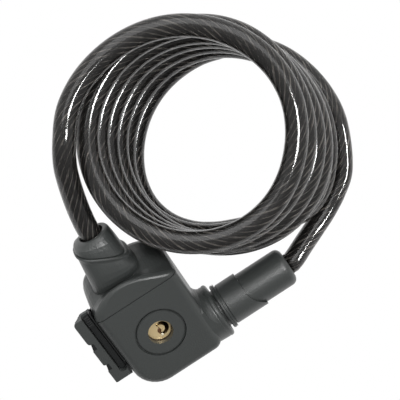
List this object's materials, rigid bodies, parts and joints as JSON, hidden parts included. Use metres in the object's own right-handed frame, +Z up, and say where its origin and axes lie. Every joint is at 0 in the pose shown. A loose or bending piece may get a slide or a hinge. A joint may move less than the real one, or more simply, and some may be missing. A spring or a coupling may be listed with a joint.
{
  "type": "coiled cable lock",
  "caption": "Coiled steel cable lock for a cycle: rounded key housing with a domed cable outlet, a plug-in bolt ferrule on the cable's end and a slide-on tube bracket.",
  "frame": {"origin": "on the table, at the bottom centre of the box round the lock, bolt and bracket, without the free cable", "axes": "+X along the bolt from the housing towards the ferrule's end, +Y in plan towards the cable outlet, +Z up off the table"},
  "size_m": [0.1556, 0.1374, 0.0747],
  "materials": {
    "shell": "fine satin",
    "casting": "as cast",
    "steel": "plated",
    "brass": "machined",
    "rubber": "matt",
    "insert": "ribbed",
    "jacket": "glossy smoke-tinted vinyl over steel strand"
  },
  "bodies": {
    "case": {"main_shell": "shell", "rear_cover": "shell", "cover_screws": "steel", "top_cap": "shell", "cap_screws": "steel", "cable_cuff": "shell", "front_bezel": "shell", "cylinder_barrel": "brass", "driver_pins": "steel", "pin_springs": "steel", "chamber_cover": "brass", "lock_chassis": "casting", "socket_sleeve": "steel", "cable_anchor": "steel", "anchor_screw": "steel", "mount_rail": "shell", "rail_screws": "steel", "cable_lead": "jacket", "cable_coil": "jacket", "cable_tail": "jacket"},
    "plug": {"key_plug": "brass", "key_pins": "brass", "plug_cam": "steel", "cam_screw": "steel"},
    "latch": {"latch_slide": "steel"},
    "bolt": {"bolt_pin": "steel", "flange_ring": "shell", "seal_ring": "rubber", "front_sleeve": "shell", "rear_sleeve": "shell", "crimp_tube": "steel", "cable_end": "jacket"},
    "bracket": {"bracket_base": "shell", "release_tongue": "shell", "saddle_pad": "rubber", "grip_strips": "insert"}
  },
  "joints": [
    {"name": "key_turn", "type": "hinge", "parent": "case", "child": "plug", "pos_m": [-0.017, -0.01633, 0.03163], "axis": [0, 0.4384, -0.8988], "range_deg": [0, 90]},
    {"name": "latch_travel", "type": "slide", "parent": "case", "child": "latch", "axis": [0, -0.8988, -0.4384], "range_m": [0, 0.00283]},
    {"name": "bolt_release", "type": "slide", "parent": "case", "child": "bolt", "axis": [1, 0, 0], "range_m": [0, 0.0265], "deforming": ["cable_tail"]},
    {"name": "bracket_slide", "type": "slide", "parent": "case", "child": "bracket", "axis": [0, -0.8988, -0.4384], "range_m": [0, 0.034]}
  ],
  "couplings": [
    {"joint": "latch_travel", "follows": "key_turn", "m_per_rad": 0.0018006}
  ]
}
